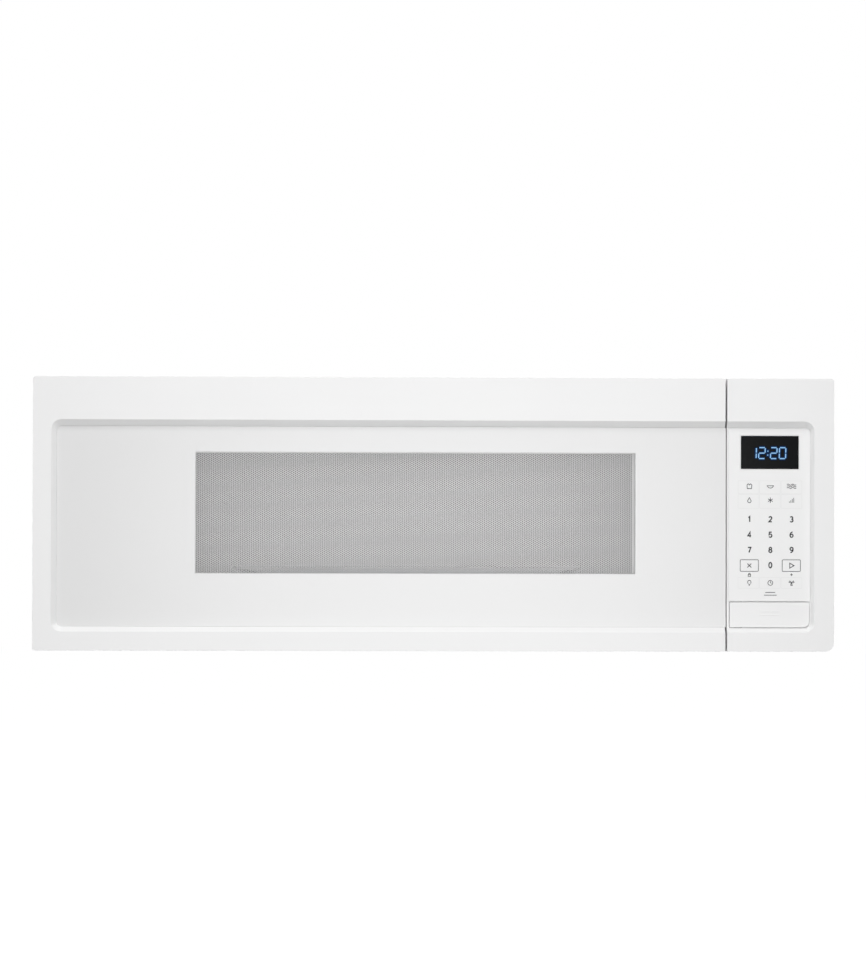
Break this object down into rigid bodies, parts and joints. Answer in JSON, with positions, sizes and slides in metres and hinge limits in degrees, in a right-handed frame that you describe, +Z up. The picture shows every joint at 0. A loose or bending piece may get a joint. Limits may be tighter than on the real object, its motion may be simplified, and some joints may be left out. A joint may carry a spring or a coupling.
{
  "type": "over-the-range microwave oven",
  "caption": "Low-profile over-the-range microwave oven with side-hinged door, push-button latch, keypad panel, glass turntable and built-in vent hood.",
  "frame": {"origin": "middle of the underside, halfway across the width and the depth, on the plane of the base pan", "axes": "+X to the cook's right along the width, +Y towards the wall behind, +Z up; the door faces -Y"},
  "size_m": [0.7588, 0.4634, 0.2603],
  "materials": {
    "white_moulding": "moulded, semi-gloss",
    "white_paint": "powder coat",
    "white_glass": "polished, printed white behind",
    "membrane": "satin printed film",
    "display": "polished",
    "oven_enamel": "baked enamel",
    "black_plastic": "moulded",
    "grey_plastic": "moulded",
    "zinc_steel": "zinc-plated sheet",
    "bright_steel": "drawn wire",
    "aluminium": "mill finish",
    "copper": "enamelled wire",
    "clear_glass": "polished",
    "mica": "pressed mica sheet",
    "circuit_board": "solder mask",
    "charcoal": "carbon granules",
    "laminations": "varnished steel sheets"
  },
  "bodies": {
    "root": {"outer_case": "white_paint", "base_pan": "white_paint", "rear_panel": "zinc_steel", "oven_cavity": "oven_enamel", "cavity_lamp": "grey_plastic", "turntable_motor": "zinc_steel", "hinge_upper": "zinc_steel", "hinge_lower": "zinc_steel", "control_panel": "white_moulding", "keypad_membrane": "membrane", "display_window": "display", "control_board": "circuit_board", "button_spring": "bright_steel", "interlock_bracket": "grey_plastic", "secondary_switch": "black_plastic", "primary_switch": "black_plastic", "waveguide": "zinc_steel", "waveguide_cover": "mica", "magnetron": "aluminium", "transformer_core": "laminations", "primary_winding": "copper", "secondary_winding": "copper", "high_voltage_capacitor": "aluminium", "noise_filter_board": "circuit_board", "fan_shroud": "zinc_steel", "cooling_fan_motor": "laminations", "blower_motor": "zinc_steel", "blower_housing_left": "zinc_steel", "blower_housing_right": "zinc_steel", "cooktop_lens_left": "clear_glass", "cooktop_lens_right": "clear_glass", "cooktop_lamp_left": "grey_plastic", "cooktop_lamp_right": "grey_plastic", "exhaust_duct": "zinc_steel", "vent_grille": "white_paint", "charcoal_filter": "charcoal", "cord_bushing": "black_plastic"},
    "door": {"door_frame": "white_moulding", "door_glass": "white_glass", "door_screen": "white_paint", "door_choke_frame": "white_paint", "door_choke_cover": "grey_plastic", "door_inner_pane": "clear_glass", "latch_spring": "bright_steel"},
    "latch": {"latch_hooks": "grey_plastic"},
    "release_button": {"release_button": "white_moulding"},
    "release_lever": {"release_lever": "grey_plastic"},
    "turntable": {"turntable_tray": "clear_glass", "drive_hub": "grey_plastic"},
    "roller_ring": {"roller_ring": "grey_plastic"},
    "roller_1": {"roller_1": "white_moulding"},
    "roller_2": {"roller_2": "white_moulding"},
    "roller_3": {"roller_3": "white_moulding"},
    "cooling_fan": {"cooling_fan_blade": "black_plastic"},
    "blower_rotor": {"blower_shaft": "bright_steel", "blower_wheel_left": "black_plastic", "blower_wheel_right": "black_plastic"},
    "grease_filter_left": {"grease_filter_left": "aluminium"},
    "grease_filter_right": {"grease_filter_right": "aluminium"}
  },
  "joints": [
    {"name": "door_hinge", "type": "hinge", "parent": "root", "child": "door", "pos_m": [-0.3714, -0.20675, 0.13], "axis": [0, 0, -1], "range_deg": [0, 100]},
    {"name": "button_press", "type": "slide", "parent": "root", "child": "release_button", "axis": [0, 1, 0], "range_m": [0, 0.004], "stiffness_N_per_m": 500, "deforming": ["button_spring"]},
    {"name": "lever_turn", "type": "hinge", "parent": "root", "child": "release_lever", "pos_m": [0.3, -0.17075, 0.0545], "axis": [1, 0, 0], "range_deg": [0, 11.2]},
    {"name": "latch_lift", "type": "slide", "parent": "door", "child": "latch", "axis": [0, 0, 1], "range_m": [0, 0.00313], "stiffness_N_per_m": 200, "deforming": ["latch_spring"]},
    {"name": "turntable_spin", "type": "hinge", "parent": "root", "child": "turntable", "pos_m": [-0.0215, 0.00825, 0.06], "axis": [0, 0, 1], "continuous": true},
    {"name": "roller_ring_spin", "type": "hinge", "parent": "root", "child": "roller_ring", "pos_m": [-0.0215, 0.00825, 0.0573], "axis": [0, 0, 1], "continuous": true},
    {"name": "roller_1_spin", "type": "hinge", "parent": "roller_ring", "child": "roller_1", "pos_m": [0.0795, 0.00825, 0.0573], "axis": [1, 0, 0], "continuous": true},
    {"name": "roller_2_spin", "type": "hinge", "parent": "roller_ring", "child": "roller_2", "pos_m": [-0.072, 0.09572, 0.0573], "axis": [-0.5, 0.866, 0], "continuous": true},
    {"name": "roller_3_spin", "type": "hinge", "parent": "roller_ring", "child": "roller_3", "pos_m": [-0.072, -0.07922, 0.0573], "axis": [-0.5, -0.866, 0], "continuous": true},
    {"name": "cooling_fan_spin", "type": "hinge", "parent": "root", "child": "cooling_fan", "pos_m": [0.314, 0.146, 0.132], "axis": [0, 1, 0], "continuous": true},
    {"name": "blower_spin", "type": "hinge", "parent": "root", "child": "blower_rotor", "pos_m": [0, 0.07, 0.23017], "axis": [1, 0, 0], "continuous": true},
    {"name": "grease_filter_left_shift", "type": "slide", "parent": "root", "child": "grease_filter_left", "axis": [0, 1, 0], "range_m": [0, 0.008]},
    {"name": "grease_filter_right_shift", "type": "slide", "parent": "root", "child": "grease_filter_right", "axis": [0, 1, 0], "range_m": [0, 0.008]}
  ],
  "couplings": [
    {"joint": "lever_turn", "follows": "button_press", "rad_per_m": 48.781},
    {"joint": "latch_lift", "follows": "button_press", "ratio": 0.78049},
    {"joint": "roller_ring_spin", "follows": "turntable_spin", "ratio": 0.5},
    {"joint": "roller_1_spin", "follows": "turntable_spin", "ratio": -6.3125},
    {"joint": "roller_2_spin", "follows": "turntable_spin", "ratio": -6.3125},
    {"joint": "roller_3_spin", "follows": "turntable_spin", "ratio": -6.3125}
  ]
}
